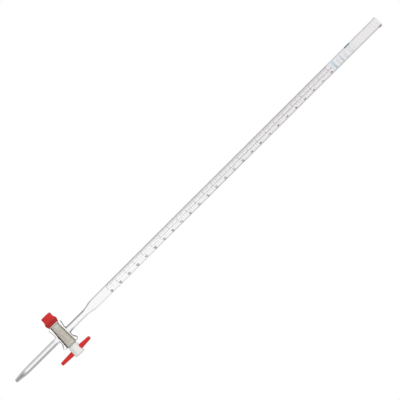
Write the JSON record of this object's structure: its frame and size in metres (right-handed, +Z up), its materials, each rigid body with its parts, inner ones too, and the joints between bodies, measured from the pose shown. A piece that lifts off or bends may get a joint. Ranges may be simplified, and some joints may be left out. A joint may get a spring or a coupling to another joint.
{
  "type": "burette",
  "caption": "Slim glass measuring tube with printed graduations, drawn-down delivery jet, and a cross-bored plastic plug stopcock with ribbed nut and T-handle.",
  "frame": {"origin": "centre of the orifice at the very bottom of the delivery jet, on the measuring tube's axis", "axes": "+Z up the tube to the open mouth; the stopcock's axis runs along X, nut on -X and T-handle on +X; the graduations face -Y"},
  "size_m": [0.0584, 0.0216, 0.6],
  "materials": {
    "glass": "clear borosilicate, flame worked",
    "ptfe": "satin, machined",
    "red_plastic": "semi-gloss moulded",
    "rubber": "matte"
  },
  "bodies": {
    "glass": {"graduated_tube": "glass", "shoulder_stem": "glass", "stopcock_barrel": "glass", "delivery_jet": "glass"},
    "plug": {"ptfe_plug": "ptfe", "handle_bar": "red_plastic"},
    "thrust": {"sealing_washer": "ptfe", "thrust_o_ring": "rubber"},
    "nut": {"retaining_nut": "red_plastic"}
  },
  "joints": [
    {"name": "plug_turn", "type": "hinge", "parent": "glass", "child": "plug", "pos_m": [0, 0, 0.0795], "axis": [1, 0, 0], "continuous": true},
    {"name": "nut_advance", "type": "slide", "parent": "plug", "child": "thrust", "axis": [-1, 0, 0], "range_m": [0, 0.008]},
    {"name": "nut_turn", "type": "hinge", "parent": "thrust", "child": "nut", "pos_m": [-0.022, 0, 0.0795], "axis": [-1, 0, 0], "range_deg": [0, 1440]}
  ],
  "couplings": [
    {"joint": "nut_turn", "follows": "nut_advance", "rad_per_m": 3141.6}
  ]
}
